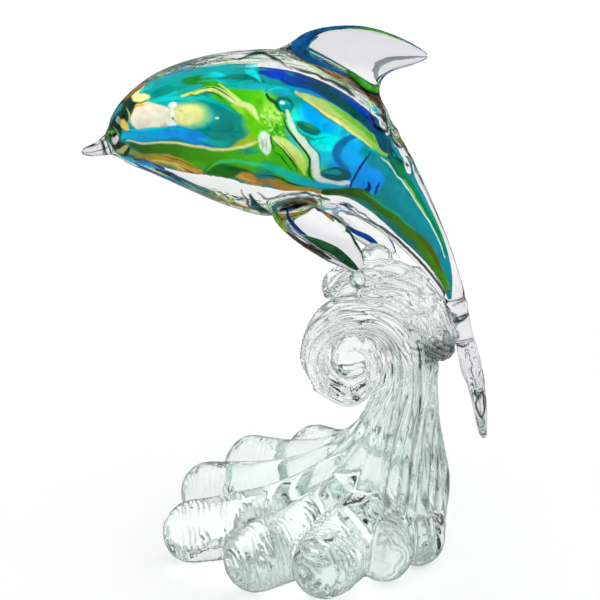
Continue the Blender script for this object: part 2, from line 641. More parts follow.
def paint_fields(p):
    """Broad fields of colour that the rest lies on."""
    p.band([(-22, 176), (-12, 170), (-2, 162), (4, 150)], 11, GREEN, GREEN, 4, 0.1)
    p.blob(-28, 152.6, 17, 5, 0, (0.06, 0.50, 0), 0.5)
    p.blob(12, 165, 14, 12, -40, (0, 0.62, 0.85), 0.35)
    p.blob(23, 150, 10, 10, -45, AZURE, 0.35)
    p.band([(31, 160), (40, 143), (50, 126), (58, 108)], 9, (0, 0.29, 0.31), (0, 0.27, 0.36), 3, 0.1)


def paint_crown(p):
    """Teal and dark green over the top of the head."""
    p.band([(-62, 176), (-52, 182), (-40, 186), (-24, 188.5), (-8, 188)], 4.6, TEAL, (0, 0.36, 0.42), 1.2,
           0.2)
    p.band([(-58, 179.6), (-54, 182.6), (-49.6, 184.2)], 0.9, CYAN, TEAL, 0.7)
    p.blob(-46, 181.5, 6, 2.2, 14, (0, 0.25, 0.20), 0.6)
    p.band([(-50, 178.6), (-44, 180.6), (-38, 182.8), (-30, 183.4)], 0.8, (0, 0.62, 0.60), TEAL, 0.8)
    p.blob(-35.6, 186.2, 6, 2, 4, (0.01, 0.20, 0.01), 0.5)
    p.band([(-37, 186.8), (-29, 183.8), (-22, 181)], 2, (0.01, 0.17, 0.01), GREEN, 1)
    p.band([(-34, 187.4), (-29, 188.3), (-24.6, 187.8)], 1, TEAL, (0, 0.80, 0.85), 0.6)
    p.band([(-27, 186.4), (-21.5, 187.4), (-15, 186.2), (-10, 184.4)], 1.3, (0, 0.22, 0.16),
           (0, 0.14, 0.12), 0.9)
    p.line([(-36, 185.4), (-29, 185.4), (-22, 184.6), (-14, 185)], 0.22, (0, 0.60, 0.50))
    p.band([(-25, 183.6), (-15.8, 183), (-6.6, 181.7), (0, 179.4)], 1.4, (0, 0.42, 0.40), (0, 0.36, 0.62),
           1)
    p.band([(-17, 189), (-14, 187.4), (-11.4, 184.6)], 0.9, CYAN, CYAN, 0.7)


def paint_window(p):
    """The window in the head, with its cream and butter lights."""
    p.blob(-36.4, 166.6, 21.6, 10.6, -5, TEAL, 0.10)
    p.blob(-28.5, 168, 11, 8.4, -6, (0, 0.25, 0.22), 0.6, 0.8)
    p.band([(-21.3, 175.3), (-15.2, 171.4), (-13.4, 166.3), (-16.4, 161.2), (-21.3, 157.9)], 1.7, LIME,
           (0.42, 0.46, 0), 0.7, 0.3)
    p.band([(-60, 172.4), (-52, 177), (-41, 178.4), (-30, 177), (-21, 172.6)], 1, (0, 0.7, 0.75),
           (0, 0.45, 0.40), 0.8)
    p.blob(-44, 170.4, 16.5, 6.8, -3, (0, 0.60, 0.55), 0.5, 0.75)
    p.blob(-51.6, 170.4, 8.1, 5.7, 4, CREAM, 0.12)
    p.blob(-37.6, 170.6, 7.2, 5.2, -3, (0.42, 0.80, 0.22), 0.7)
    p.blob(-38.8, 171, 6, 4.5, -3, BUTTER, 0.4)
    p.band([(-59, 172.6), (-55.4, 175.8), (-50, 176.3)], 0.5, GOLD, BUTTER, 0.4)
    p.band([(-44.3, 176.2), (-44.1, 171), (-44.3, 166)], 0.5, WHITE, WHITE, 0.4, 0.15)
    p.blob(-44.3, 166.8, 1.4, 1.5, 0, WHITE, 0.5)
    p.blob(-44, 175.4, 1.5, 1.2, 0, WHITE, 0.5)
    p.blob(-44, 169.6, 0.4, 0.9, 0, (0.15, 0.20, 0.45), 0.8)
    p.blob(-27.5, 169.2, 0.8, 0.4, 30, PALE, 0.6)


def paint_tongue(p):
    """The blue tongue and the cream line under it."""
    p.band([(-61, 162.4), (-50.8, 163.2), (-43.4, 163.6), (-37.3, 161.4), (-29, 158)], 2.9, (0, 0.46, 0.85),
           ROYAL, 0.9, 0.3)
    p.blob(-43.6, 163.4, 4.4, 2.2, -10, (0, 0.30, 1), 0.7)
    p.band([(-61, 165), (-52, 165.8), (-44, 165.4), (-36, 163.4)], 0.6, (0, 0.78, 0.85), SEA, 0.6)
    p.band([(-34, 160), (-27, 158.8), (-20, 160.2)], 1.2, (0, 0.50, 0.60), TEAL, 1)
    p.band([(-60, 160.2), (-50.8, 159.6), (-43.4, 158.7), (-36.1, 157.1), (-28.1, 156.2), (-21.3, 157.4),
            (-15.8, 159.9), (-12.6, 162)], 0.62, (1, 0.92, 0.62), LEMON, 0.4, 0.3)


def paint_jaw(p):
    """Greens over an amber edge."""
    p.band([(-58, 158.2), (-46.5, 156.4), (-37.3, 154), (-28.1, 152.6), (-18.9, 153.4), (-9.7, 156)], 2.6,
           (0.03, 0.14, 0), (0.10, 0.62, 0), 1.2, 0.25)
    p.band([(-58, 154.8), (-48, 152.8), (-40, 149.8), (-33, 146)], 1.7, (0.50, 0.42, 0.02), GOLD, 0.9, 0.25)
    p.band([(-52, 153.2), (-44, 150.6), (-36, 147.4)], 0.5, (1, 0.80, 0.16), BUTTER, 0.4)
    p.line([(-50, 154.6), (-44, 152.2), (-39, 150.6), (-33.6, 147.6)], 0.22, BROWN)
    p.line([(-42, 150), (-37, 147.6), (-33, 145.2)], 0.2, BROWN)
    p.blob(-26.3, 147.7, 7, 3.2, 14, (0.01, 0.22, 0), 0.3)
    p.band([(-32.5, 146.5), (-28, 150.4), (-21, 152.6), (-12, 152.6), (-4, 150.4)], 0.6, (0.10, 0.70, 0.05),
           (0, 0.75, 0.35), 0.6)
    p.blob(-20.5, 149.4, 4.5, 1.2, 6, DEEP_GREEN, 0.6)
    p.band([(-20.4, 146.8), (-15.8, 147.4), (-10.8, 146.4)], 1.7, (0.92, 0.46, 0.05), (0.75, 0.33, 0.04),
           0.6)
    p.line([(-19.6, 147.6), (-16, 146.6), (-12, 147)], 0.25, (1, 0.75, 0.25))
    p.line([(-19.4, 148.8), (-16, 149.4), (-13, 148.8)], 0.3, BROWN)
    p.band([(-13, 147.4), (-6.6, 147), (-0.5, 145.3), (5.7, 143.3), (12, 140.9), (16, 139.4)], 1.5,
           (0.50, 0.24, 0.05), GOLD, 0.5, 0.3)
    p.line([(-13, 149.1), (-6, 149), (0, 147.3), (6, 145.2), (12, 142.8)], 0.3, (0.02, 0.03, 0))
    p.band([(-10, 153), (-3.6, 151.2), (2.6, 148.4), (8.7, 145.6), (18, 142.2)], 1.5, (0, 0.65, 0.35),
           (0, 0.50, 0.90), 0.8, 0.3)


def paint_shoulder(p):
    """Bright green, with dark cords and a pale drop."""
    p.blob(-11.5, 171.4, 6, 9, -8, (0.12, 0.66, 0), 0.5)
    p.blob(-7.5, 172, 3.4, 5, 20, (0.34, 0.78, 0.06), 0.6)
    p.band([(-27, 184.3), (-21.3, 179.8), (-16.4, 174), (-11, 167.6)], 0.6, LEMON, LIME, 0.5)
    p.band([(-41, 179.4), (-33.6, 181.2), (-27, 181), (-21.3, 177.6), (-15.2, 174.2), (-12.6, 170)], 1.25,
           (0.62, 0.80, 0.10), (0.90, 0.95, 0.45), 0.5, 0.4)
    p.line([(-38, 180.6), (-33, 181.9), (-28.4, 181.9), (-23.2, 179.4), (-20.2, 176.8)])
    p.line([(-34.4, 179.6), (-30.8, 180.2), (-27.6, 179.2), (-24.6, 176.8)], 0.25, INK)
    p.line([(-40.6, 178.2), (-37.4, 179.8), (-33.8, 178.4)], 0.22, DEEP_GREEN)
    p.blob(-10.3, 161.2, 2.5, 4.6, 8, PALE, 0.2)
    p.line([(-12.4, 164.4), (-11.2, 161), (-12, 157.6)], 0.22, (0.30, 0.55, 0.12))
    p.line([(-10.2, 164), (-9.6, 161), (-10.4, 158)], 0.18, (0.35, 0.60, 0.2))
    p.line([(-8.2, 165.4), (-7.8, 161.6), (-6.4, 158.4)])
    p.band([(-7, 163.2), (-2.6, 161), (2, 156.8), (5, 150.6)], 1.9, (0.92, 0.98, 0.35), (0.62, 0.85, 0.12),
           0.4, 0.5)
    p.line([(-6.2, 161.4), (-2.6, 158.4), (1, 154.4), (2.2, 150.6)], 0.32, INK)
    p.line([(-7, 158.2), (-3, 155.4), (0.4, 151.8)], 0.3, (0, 0.10, 0))
    p.line([(-4.4, 161.4), (-0.4, 157.6), (2.8, 153)], 0.2, OLIVE)
    p.band([(-2.2, 168.5), (2, 163.5), (5, 158), (5.6, 152.6)], 1.3, (0.12, 0.70, 0.02), (0.3, 0.8, 0.1),
           0.7)


def paint_froth(p):
    """Frothy bright and dark specks over the shoulder."""
    froth = wander(p.x, p.z, 0.9, 27) * np.clip(1.2 - np.hypot((p.x + 5.5) / 8, (p.z - 169) / 8), 0, 1)
    p.lay((froth - 0.16) * 4, (0.52, 0.92, 0.20))
    p.lay((-froth - 0.20) * 4, (0.02, 0.36, 0))


def paint_ribbon(p):
    """The swirl and the white ribbon that falls from it."""
    p.blob(-3.2, 175.4, 3.4, 3.2, 0, DEEP_TEAL, 0.3)
    p.blob(-2.8, 175, 2.3, 2.1, 0, SEA, 0.3)
    p.blob(-2.4, 174.6, 1.5, 1.3, 0, (0, 0.30, 0.34), 0.4)
    p.blob(-3.6, 176.2, 0.9, 0.6, 0, (0.5, 1, 0.95), 0.6)
    p.band([(-9.4, 181), (-8.6, 177.8), (-5.8, 175.6), (-4.4, 172.4)], 0.7, INK, DEEP_GREEN, 0.4)
    p.band([(-10.6, 179.6), (-4, 182), (2, 178.8)], 0.5, CYAN, TEAL, 0.5)
    p.band([(-2, 173), (0, 167.2), (4, 162.4), (7.6, 158), (8.2, 152.4), (9.9, 147.8), (14.9, 145.2),
            (18.4, 144.2)], 1.35, (0.70, 0.98, 0.80), (1, 1, 0.96), 0.5, 0.3)
    p.line([(-3.4, 171), (-1.6, 166), (2.8, 161.2), (5.9, 157), (6.3, 151.4), (8, 146.6)], 0.42, INK)
    p.line([(-0.4, 171.6), (1.8, 166.8), (6, 162.4), (9.5, 157.6), (10, 152.4)], 0.3, (0, 0.12, 0.05))


def paint_flank(p):
    """Blues, from cyan to navy."""
    p.blob(12.8, 161.3, 6, 3.2, -20, (0, 0.95, 0.95), 0.5)
    p.blob(9.9, 171.4, 7.8, 4.2, -38, (0, 0.42, 1), 0.3)
    p.band([(0.6, 174), (1.4, 169.8), (3.8, 166)], 1.3, (0, 1, 0.80), CYAN, 0.8)
    p.blob(5.7, 167.3, 5, 1.9, -24, (0, 0.15, 0.10), 0.25)
    p.blob(6.8, 168, 3, 0.7, -24, (0.01, 0.30, 0.10), 0.5)
    p.line([(1.1, 170), (2.6, 165.6), (6.8, 163.2), (12.8, 163.6)], 0.45, (0, 0.45, 0.16))
    p.band([(24.6, 164.2), (18.9, 161.9), (15.9, 158), (16.3, 153.6), (19.2, 148)], 1.7, STEEL,
           (0, 0.18, 0.45), 0.7, 0.4)
    p.blob(21.6, 156, 4.6, 5.4, -40, (0, 0.45, 1), 0.35)
    p.blob(29, 158, 4, 6, -50, (0, 0.30, 0.34), 0.5)
    p.band([(27.5, 158), (31.4, 157), (33, 154.4)], 0.7, (0, 0.55, 0.50), TEAL, 0.6)
    p.line([(28.6, 157.4), (25.3, 152.6), (22.1, 147.2), (19.4, 143.8), (19, 140.4)], 0.5, NAVY)
    p.blob(26.8, 144.4, 5, 6.6, -35, (0, 0.34, 1), 0.3)
    p.band([(21, 141.6), (24.2, 140.3), (26.4, 141.8), (26.9, 144.2)], 0.9, NAVY, NAVY, 0.4)
    p.line([(28.4, 138.8), (29.5, 141.4), (30.6, 145.2)], 0.5, NAVY)
    p.line([(27.2, 141.4), (27.8, 138.8)], 0.2, CYAN)
    p.blob(14.9, 148.4, 5.4, 2.6, -20, DEEP_TEAL, 0.22)
    p.blob(13.6, 149.6, 3, 0.9, -20, (0, 0.34, 0.34), 0.5)


def paint_back(p):
    """The navy stripe and the khaki leaf under it."""
    p.band([(-12, 187.8), (-6, 187), (0, 184.9), (9.7, 183), (17.5, 178.8), (25.3, 171.4), (31.5, 163.8),
            (35.8, 157), (41, 149), (46, 140.6)], 2.6, (0, 0.03, 0.42), (0, 0.09, 0.03), 0.8, 0.55)
    p.band([(3, 184.6), (12, 182), (20, 176.4), (28, 167.6)], 1.5, (0, 0.05, 0.08), (0, 0.07, 0.04), 0.8)
    p.band([(20, 179.4), (26, 173.4), (31, 166.6)], 0.7, (0, 0.06, 0.55), NAVY, 0.6)
    p.blob(-5.6, 186.6, 4.4, 1.5, -10, (0, 0.04, 0.62), 0.6)
    p.band([(-3, 182.6), (4.5, 181), (10.4, 180)], 1, (0, 0.34, 0.60), (0, 0.25, 0.50), 0.6)
    p.band([(1.6, 180.4), (10.7, 176.7), (17.5, 171.8), (23.7, 166.4), (29.4, 160.4), (34.4, 156)], 2.7,
           KHAKI, (0.30, 0.62, 0.04), 0.5, 0.6)
    p.band([(12, 178.4), (19, 173.2), (25.6, 166.6), (31, 160)], 1.1, (0.28, 0.66, 0.06),
           (0.10, 0.45, 0.01), 0.7)
    p.band([(4, 178.2), (10, 174.4), (16.4, 170.2), (23, 164), (29, 158.6)], 0.7, (0.95, 0.85, 0.30),
           (0.85, 0.80, 0.20), 0.5)
    p.line([(3, 178.6), (7, 175.8), (11, 173.2), (16, 169.2), (21, 164.8)], 0.25, DEEP_GREEN)
    p.line([(14.6, 172.8), (17.5, 171.4), (21, 168.6)], 0.22, AMBER)


def paint_tail(p):
    """Green edges and a pale line along the tail."""
    p.band([(35.4, 157.4), (41, 149.4), (46.4, 141), (52, 130), (57.4, 117)], 1.2, (0, 0.20, 0.03),
           (0, 0.28, 0.10), 0.6, 0.3)
    p.band([(33, 155.4), (38.8, 147.8), (45, 139.1), (51.2, 128.8), (56, 116)], 0.34, (0.85, 1, 0.50), PALE,
           0.35, 0.3)
    p.line([(41.4, 146.6), (45.6, 140), (50.4, 132)], 0.28, (0.5, 0.75, 0.05))
    p.band([(10.7, 142.4), (19, 140.6), (25.3, 138.2), (35.6, 131.2), (44, 123.2), (51, 114), (56.4, 104)],
           2, (0.02, 0.10, 0), (0.10, 0.36, 0), 0.7, 0.25)
    p.band([(44, 126), (50, 118.6), (54.6, 109.6)], 1, (0.07, 0.16, 0), (0.14, 0.12, 0), 0.7)
    p.band([(24, 139.6), (34, 134.6), (44, 126.4)], 0.6, (0.02, 0.45, 0.10), SEA, 0.6)


def paint_neck(p):
    """Crowded dark glass with bright chips."""
    p.band([(-58.4, 179.6), (-61.6, 172.6), (-65.2, 166), (-65.4, 160.4), (-60.6, 156)], 3, (0, 0.03, 0.03),
           (0.02, 0.03, 0), 0.7, 0.15)
    p.blob(-55.9, 178.3, 3.4, 1.8, 12, (0.90, 0.88, 0.35), 0.3)
    p.line([(-59.8, 176.6), (-56, 176.1), (-52.6, 178.2)], 0.3, DEEP_GREEN)
    p.blob(-56, 175, 2, 0.8, 10, GOLD, 0.5)
    p.blob(-61.6, 167.2, 2.8, 1.3, -55, (0.92, 0.55, 0.08), 0.3)
    p.blob(-64.6, 170, 2.6, 0.9, -60, (0.30, 0.42, 0.38), 0.5)
    p.blob(-67, 164.4, 1.8, 1, 40, (0.12, 0.45, 0.03), 0.5)
    p.blob(-64.6, 161.6, 2.4, 0.9, 70, PALE, 0.5)
    p.blob(-61.8, 157.2, 2.2, 1.3, 10, (0.60, 0.62, 0.18), 0.5)
    p.line([(-67, 168), (-64.6, 165.2), (-62.8, 160.8)], 0.35, (0.10, 0.30, 0.08))
    p.line([(-61.4, 174.4), (-60.2, 171.4), (-59.8, 168)], 0.3, (0.55, 0.60, 0.10))


def paint_smoke(p):
    """Faint smoke and fine cords everywhere."""
    grain = wander(p.x, p.z, 1.5, 21) * wander(p.x, p.z, 5, 22)
    p.lay((np.abs(grain) - 0.36) * 5, p.colour * 0.78)
    cords = np.abs(wander(p.x + 0.7 * p.z, p.z * 1.3, 4.4, 23))
    p.lay((0.03 - cords) * 22 * np.clip(wander(p.x, p.z, 12, 24) * 2, 0, 0.5), p.colour * 0.4)


def paint_core(x, z):
    """Colours of the core's points, which are seen at x and z."""
    p = Stain(x, z)
    for paint in (paint_fields, paint_crown, paint_window, paint_tongue, paint_jaw, paint_shoulder,
                  paint_froth, paint_ribbon, paint_flank, paint_back, paint_tail, paint_neck, paint_smoke):
        paint(p)
    shade = 1.0 + 0.08 * wander(p.x, p.z, 6.0, 25) + 0.05 * wander(p.x, p.z, 2.0, 26)
    return np.clip(p.colour * shade[:, None], 0, 1)


def make_core():
    points, quads = tube(plane_tube(CORE, CORE_STEPS, CORE_COUNT))
    turn = np.linspace(0, 2 * math.pi, CORE_COUNT, endpoint=False)
    lift = np.cos(turn)
    # share of the way from the upper to the lower seen edge, further round on the sides
    down = 0.5 * (1 - lift) + 0.072 * np.abs(np.sin(turn)) * (1 + 0.75 * lift)
    seen = smooth(SEEN, CORE_STEPS)
    x = (seen[:, 0:1] * (1 - down) + seen[:, 2:3] * down).ravel()
    z = (seen[:, 1:2] * (1 - down) + seen[:, 3:4] * down).ravel()
    x = np.append(x, [x[0], x[-1]])
    z = np.append(z, [z[0], z[-1]])
    core = make_object("dolphin_core", points, quads[:, ::-1], core_stain, [
        "core_teal", "core_green", "core_blue", "core_cream", "stripe_navy", "stripe_amber"])
    put_attribute(core, "stain", paint_core(x, z))


make_core()


# ---------------------------------------------------------------- coloured threads in the fins and belly
THREAD_COUNT = 20     # points round a strand


def threads(name, parts, nodes=()):
    """Flattened, tapering strands of coloured glass. Each part: rows of x, y, z, half width; half thickness;
    first and last colour."""
    all_points, all_quads, stain = [], [], []
    base = 0
    for rows, thick, first, last in parts:
        s = smooth(rows, 10)
        centres, half = s[:, :3], np.maximum(s[:, 3], 0.12)
        run = np.gradient(centres, axis=0)
        run /= np.linalg.norm(run, axis=1)[:, None]
        side = np.array([0.0, 1.0, 0.0]) - run * run[:, 1:2]
        side /= np.linalg.norm(side, axis=1)[:, None]
        up = np.cross(run, side)
        grid = rings(centres, up, side, half, thick * half / half.max(), THREAD_COUNT)
        points, quads = tube(grid)
        points = dolphin.keep_inside(points, SKIN)
        share = np.append(np.repeat(np.linspace(0, 1, len(s)), THREAD_COUNT), [0.0, 1.0])[:, None]
        colour = np.asarray(first) * (1 - share) + np.asarray(last) * share
        streak = 1 + 0.5 * wander3(points, 1.3, 51)[:, None]
        all_points.append(points)
        all_quads.append(quads + base)
        stain.append(np.clip(colour * streak, 0, 1))
        base += len(points)
    obj = make_object(name, np.vstack(all_points), np.vstack(all_quads)[:, ::-1], thread_stain, nodes)
    put_attribute(obj, "stain", np.vstack(stain))


threads("dorsal_thread_blue", [
    ([(12, 0, 196.6, 0.3), (8, 0, 195.8, 1.3), (4.6, 0, 193.8, 2.3), (2.8, 0, 190.8, 2.7),
      (3.6, 0, 187.6, 2.2), (7.4, 0, 185, 1.6), (12, 0, 183.4, 1.2), (17, 0, 181.6, 0.6),
      (20, 0, 179.9, 0.3)], 2.2,
     (0, 0.10, 0.30), (0, 0.20, 0.55)),
    ([(9.4, 0.4, 194.6, 0.2), (6.6, 0.4, 192.6, 0.5), (5.6, 0.4, 190, 0.6), (7.2, 0.4, 187, 0.4),
      (10.6, 0.4, 185.4, 0.2)], 2.4, (0, 0.45, 0.50), (0, 0.30, 0.60)),
], ["dorsal_blue"])
threads("dorsal_thread_green", [
    ([(18.6, 0, 183, 0.3), (22, 0, 180.2, 1.4), (25.2, 0, 177.6, 1.7), (28.4, 0, 176.4, 1.5),
      (30.8, 0, 177.6, 1), (31.8, 0, 179.6, 0.3)], 1.6, (0.02, 0.30, 0.02), (0.10, 0.55, 0.02)),
    ([(18, 0, 181.6, 0.2), (22, 0, 178.2, 0.5), (26, 0, 175.2, 0.6), (29.6, 0, 174.8, 0.5),
      (32.4, 0, 177, 0.2)], 1.4, (0, 0.02, 0.02), (0, 0.03, 0.01)),
], ["dorsal_green"])
threads("pectoral_thread_green", [
    ([(-5, -14.6, 137.2, 0.4), (-5, -16.2, 134.2, 1.6), (-3.2, -17.6, 131.4, 1.5), (-0.8, -18.6, 129.6, 0.4)],
     1.6, (0.03, 0.32, 0.02), (0.45, 0.70, 0.03)),
    ([(5, -19.6, 128.8, 0.4), (10, -19.5, 126.2, 1.3), (15, -18.5, 123.3, 1.5), (18.4, -17.2, 120.2, 1.4),
      (21.2, -15.6, 117.3, 1.1), (23.4, -14.4, 115.4, 0.3)], 1.3, (0.01, 0.14, 0.03), (0, 0.06, 0.02)),
    ([(-1, -18.6, 130.2, 0.2), (4.2, -19.8, 126.2, 0.8), (9.6, -19.5, 123, 1), (14, -18.4, 120.4, 0.3)],
     1, (0.10, 0.05, 0), (0.01, 0.02, 0.01)),
    ([(24.6, 0, 131, 0.3), (30.2, 0, 127.8, 0.8), (36, 0, 123.8, 0.9), (40.8, 0, 120, 0.3)],
     1.2, (0.10, 0.26, 0.03), (0.02, 0.05, 0.02)),
], ["pectoral_left_green"])
threads("pectoral_thread_blue", [
    ([(-5.6, -15.4, 136.2, 0.3), (-4.2, -14, 138.4, 0.9), (0.2, -13.2, 139.6, 1), (4.8, -14.6, 139, 0.8),
      (9.2, -17.4, 136.8, 0.6), (14.4, -19.4, 133.4, 0.3)], 1.2, (0, 0.22, 0.32), (0.45, 0.26, 0.04)),
    ([(-0.8, -16, 137.2, 0.2), (-0.4, -17, 134.2, 0.55), (3, -18.6, 130.6, 0.6), (5.6, -19, 129, 0.2)],
     0.8, (0, 0.03, 0.25), (0, 0.05, 0.35)),
], ["pectoral_left_blue"])
threads("far_pectoral_thread", [
    ([(20, 18.2, 123.4, 0.3), (24, 17.6, 121, 0.8), (29.4, 17, 118.4, 0.9), (34.6, 14.4, 114.4, 0.4)],
     0.9, (0, 0.06, 0.30), (0, 0.10, 0.60)),
], ["pectoral_right_blue"])
threads("jaw_thread_blue", [
    ([(-55.5, -3, 152.6, 0.2), (-51, -4, 150.4, 0.7), (-46, -5, 148, 0.8), (-41, -6, 146, 0.6),
      (-37.5, -6, 145, 0.2)], 1, (0, 0.03, 0.20), (0, 0.10, 0.45)),
])
threads("belly_thread_amber", [
    ([(-36, -6, 144, 0.2), (-30, -7, 141.5, 0.6), (-24, -8, 139.6, 0.8), (-18, -8, 138, 0.6),
      (-13.5, -8, 137.2, 0.2)], 1, (0.60, 0.22, 0.02), (0.75, 0.40, 0.05)),
])


# ---------------------------------------------------------------- wave glass
# Each flute of the column runs down into a toe; three more flutes run down its back edge.
TOE_TURNS = [math.atan2(toe[1] - HUB[1], toe[0] - HUB[0]) for toe in TOES]
CRESTS = np.sort(TOE_TURNS + [math.radians(a) for a in (-36, -4, 24)])
FLUTE_DEPTH = rng.uniform(0.6, 1.3, len(CRESTS))


def fluted(depth, twist):
    """Radius of each ring: full on the crests, drawn in between them; depth and twist go ring by ring."""
    def radius(ang):
        a = (ang[None, :] - twist[:, None] + math.pi) % (2 * math.pi) - math.pi
        k = np.searchsorted(CRESTS, a) - 1
        low = CRESTS[k] - np.where(k < 0, 2 * math.pi, 0)
        k2 = (k + 1) % len(CRESTS)
        high = CRESTS[k2] + np.where(k2 == 0, 2 * math.pi, 0) * (k >= 0)
        t = (a - low) / (high - low)
        return 1.0 - depth[:, None] * FLUTE_DEPTH[k] * np.sin(math.pi * t) ** 2
    return radius


def strip(rows, depth, twist, steps=10, count=168):
    """Fluted tube along a line in the XZ plane; the depth and twist of its flutes go by ring number."""
    s = smooth(rows, steps)
    a = np.radians(s[:, 2])
    across = np.stack([np.cos(a), np.zeros(len(s)), np.sin(a)], -1)
    side = np.tile([0.0, 1.0, 0.0], (len(s), 1))
    centres = np.stack([s[:, 0], np.zeros(len(s)), s[:, 1]], -1)
    n = len(s)
    radius = fluted(np.interp(np.arange(n), *depth), np.radians(np.interp(np.arange(n), *twist)))
    return rings(centres, across, side, s[:, 3], s[:, 4], count, radius)


TOE_RINGS = 32        # rings from the column to a toe's rounded end


def make_toe(end_x, end_y, half_w, top, rise, start=8.0, sink=1.0):
    """Rounded toe from the hub to its end, high at the column and low further out; it starts a little way from
    the hub and sinks below the floor, where it is cut flat."""
    run = np.array([end_x, end_y]) - HUB
    length = np.linalg.norm(run)
    run = run / length
    cap = np.radians([20, 38, 54, 68, 79, 86])
    out = np.concatenate([np.linspace(start, length, TOE_RINGS), length + half_w * np.sin(cap)])
    part = np.clip((out - start) / (length - start), 0, 1)
    crest = top + (rise - top) * np.exp(-(out - start) / (0.28 * length))
    spread = np.interp(part, [0, 0.1, 0.24, 0.44, 0.7, 1.0], [0.62, 0.68, 0.78, 0.88, 0.96, 1.0])
    close = np.ones(len(out))
    close[TOE_RINGS:] = np.cos(cap)
    half_h = 0.5 * (crest + sink)
    centres = np.stack([HUB[0] + run[0] * out, HUB[1] + run[1] * out, half_h - sink], -1)
    up = np.tile([0.0, 0.0, 1.0], (len(out), 1))
    side = np.tile([-run[1], run[0], 0.0], (len(out), 1))
    return rings(centres, up, side, half_h * close, half_w * spread * close, 48)


WAVE_BOX = ((-52, -55, -3), (66, 57, 121))     # lowest and highest corner of its grid, mm
EYE = (22.6, 0, 76.4, 8, 8.8, 8)     # glass in the eye of the curl: x, y, z and three half sizes
FOAM_LUMPS = 22       # small lumps thrown over the saddle


def make_wave_field():
    """Column and curl, then the toes, then the foam."""
    curl_rows = []
    for i, (r, half_t, half_y) in enumerate(CURL):
        a = math.radians(CURL_STEP * i)
        curl_rows.append((CURL_CENTRE[0] + r * math.cos(a), CURL_CENTRE[1] + r * math.sin(a), CURL_STEP * i,
                          half_t, half_y))
    wave = Field(*WAVE_BOX)
    wave.add(strip(COLUMN + curl_rows[:6], ([0, 30, 60, 90, 130], [0.19, 0.21, 0.17, 0.10, 0.07]),
                   ([0, 20, 60, 130], [0.0, -4.0, 12.0, 20.0])))
    wave.add(strip(curl_rows[5:], ([0, 70], [0.05, 0.05]), ([0, 70], [20.0, 30.0])), 1.0)
    wave.add(ball(*EYE), 1.5)
    toes = Field(*WAVE_BOX)
    for size in TOES:
        toes.add(make_toe(*size), 1.8)
    wave.join(toes.values, 7.0)
    add_foam(wave)
    wave.cut_below_floor()
    return wave


def add_foam(wave):
    """Lobed saddle with torn lumps thrown round it."""
    foam_rows = [(x, z, tilt + 90.0, h, w) for x, z, tilt, h, w in FOAM]
    wave.add(strip(foam_rows, ([0, 70], [0.10, 0.10]), ([0, 70], [10.0, -30.0]), 8, 120), 1.5)
    for size in LUMPS:
        wave.add(ball(*size), 2.0)
    for _ in range(FOAM_LUMPS):
        part = rng.uniform(0.3, len(FOAM) - 1.7)
        k = int(part)
        x, z, tilt, half_t, half_y = np.array(FOAM[k]) * (k + 1 - part) + np.array(FOAM[k + 1]) * (part - k)
        turn = rng.uniform(-1.35, 1.35)
        a = math.radians(tilt + 90.0)
        lift = math.cos(turn) * half_t * 0.95
        size = rng.uniform(2.2, 3.6)
        wave.add(ball(x + lift * math.cos(a), math.sin(turn) * half_y * 0.92, z + lift * math.sin(a),
                      size * rng.uniform(1.0, 1.4), size, size * rng.uniform(0.8, 1.2), 20), 1.2)


CHILL_STEP = 2.1      # from one chill mark on a toe to the next, mm
TOE_MARKS = [0.12, 0.20, 0.42, 0.16, 0.40, 0.06, 0.05, 0.05, 0.1, 0.1]     # their height on each toe, mm


